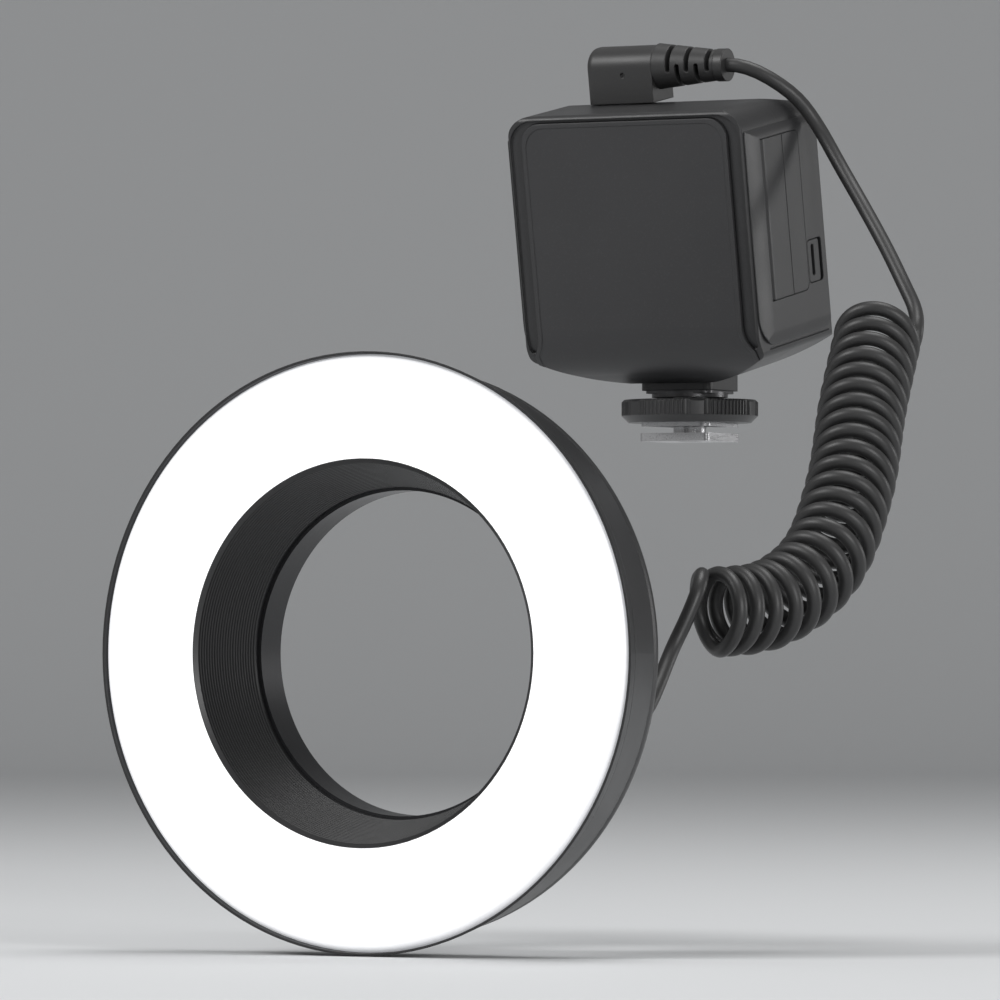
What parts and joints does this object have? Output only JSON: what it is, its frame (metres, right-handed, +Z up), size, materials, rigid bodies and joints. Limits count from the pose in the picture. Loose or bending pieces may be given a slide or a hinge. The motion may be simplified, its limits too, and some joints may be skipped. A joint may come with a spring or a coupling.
{
  "type": "macro ring light",
  "caption": "Ring-shaped macro light that screws on a lens, with a shoe-mounted controller on a curly cord.",
  "frame": {"origin": "middle of the male lens thread behind the ring head, on the lens axis", "axes": "+X to the right as seen from the ring's front, +Y back along the lens axis, +Z up"},
  "size_m": [0.1493, 0.182, 0.2168],
  "materials": {
    "housing_black": "fine satin",
    "diffuser_white": "opal, satin",
    "bore_black": "ridged, satin",
    "tray_white": "gloss white",
    "board_green": "solder mask",
    "chip_white": "moulded",
    "screw_steel": "blackened",
    "adapter_black": "black anodised",
    "cord_rubber": "matte",
    "shell_black": "fine grain",
    "panel_black": "satin",
    "inner_black": "plain",
    "cell_wrap": "satin",
    "contact_metal": "plain",
    "display_grey": "plain",
    "window_clear": "clear",
    "key_grey": "matte",
    "foot_metal": "brushed",
    "wheel_black": "satin, knurled"
  },
  "bodies": {
    "light": {"ring_housing": "housing_black", "ring_rear_cover": "housing_black", "diffuser": "diffuser_white", "bore_sleeve": "bore_black", "reflector": "tray_white", "led_board": "board_green", "circuit_board": "board_green", "led_chips": "chip_white", "key_switches": "chip_white", "ring_screws": "screw_steel", "retainer_screws": "screw_steel", "casing_screws": "screw_steel", "neck_screws": "screw_steel", "foot_screw": "screw_steel", "door_hinge_pin": "screw_steel", "adapter_retainer": "adapter_black", "cable_gland": "cord_rubber", "cord_upper": "cord_rubber", "cord_coil": "cord_rubber", "cord_lower": "cord_rubber", "plug_boot": "cord_rubber", "plug_body": "cord_rubber", "front_shell": "shell_black", "rear_shell": "shell_black", "side_pad_right": "shell_black", "side_pad_left": "shell_black", "shoe_neck": "shell_black", "cord_socket": "shell_black", "front_panel": "panel_black", "rear_panel": "panel_black", "battery_tray": "inner_black", "key_guide": "inner_black", "board_posts": "inner_black", "batteries": "cell_wrap", "battery_contacts": "contact_metal", "jack_pin": "contact_metal", "display": "display_grey", "display_window": "window_clear", "foot_plate": "foot_metal", "foot_stem": "foot_metal", "neck_plate": "foot_metal"},
    "adapter": {"adapter_ring": "adapter_black"},
    "door": {"battery_door": "shell_black", "door_contact": "contact_metal"},
    "latch": {"door_latch": "shell_black"},
    "washer": {"clamp_washer": "foot_metal"},
    "wheel": {"lock_wheel": "wheel_black"},
    "power_key": {"power_button": "key_grey"},
    "mode_key": {"mode_button": "key_grey"},
    "minus_key": {"minus_button": "key_grey"},
    "plus_key": {"plus_button": "key_grey"}
  },
  "joints": [
    {"name": "adapter_turn", "type": "hinge", "parent": "light", "child": "adapter", "pos_m": [0, 0, 0], "axis": [0, 1, 0], "continuous": true},
    {"name": "door_swing", "type": "hinge", "parent": "light", "child": "door", "pos_m": [0.03125, 0.11596, 0.10424], "axis": [0, 0.1822, -0.9833], "range_deg": [0, 105]},
    {"name": "latch_slide", "type": "slide", "parent": "light", "child": "latch", "axis": [0, 0.9833, 0.1822], "range_m": [0, 0.0015], "stiffness_N_per_m": 300},
    {"name": "wheel_turn", "type": "hinge", "parent": "washer", "child": "wheel", "pos_m": [0, 0.138, 0.0587], "axis": [0, 0, 1], "range_deg": [0, 570]},
    {"name": "washer_lift", "type": "slide", "parent": "light", "child": "washer", "axis": [0, 0, 1], "range_m": [0, 0.00119]},
    {"name": "power_press", "type": "slide", "parent": "light", "child": "power_key", "axis": [0, -0.9833, -0.1822], "range_m": [0, 0.0006], "stiffness_N_per_m": 1200},
    {"name": "mode_press", "type": "slide", "parent": "light", "child": "mode_key", "axis": [0, -0.9833, -0.1822], "range_m": [0, 0.0006], "stiffness_N_per_m": 1200},
    {"name": "minus_press", "type": "slide", "parent": "light", "child": "minus_key", "axis": [0, -0.9833, -0.1822], "range_m": [0, 0.0006], "stiffness_N_per_m": 1200},
    {"name": "plus_press", "type": "slide", "parent": "light", "child": "plus_key", "axis": [0, -0.9833, -0.1822], "range_m": [0, 0.0006], "stiffness_N_per_m": 1200}
  ],
  "couplings": [
    {"joint": "wheel_turn", "follows": "washer_lift", "rad_per_m": 8377.6}
  ]
}
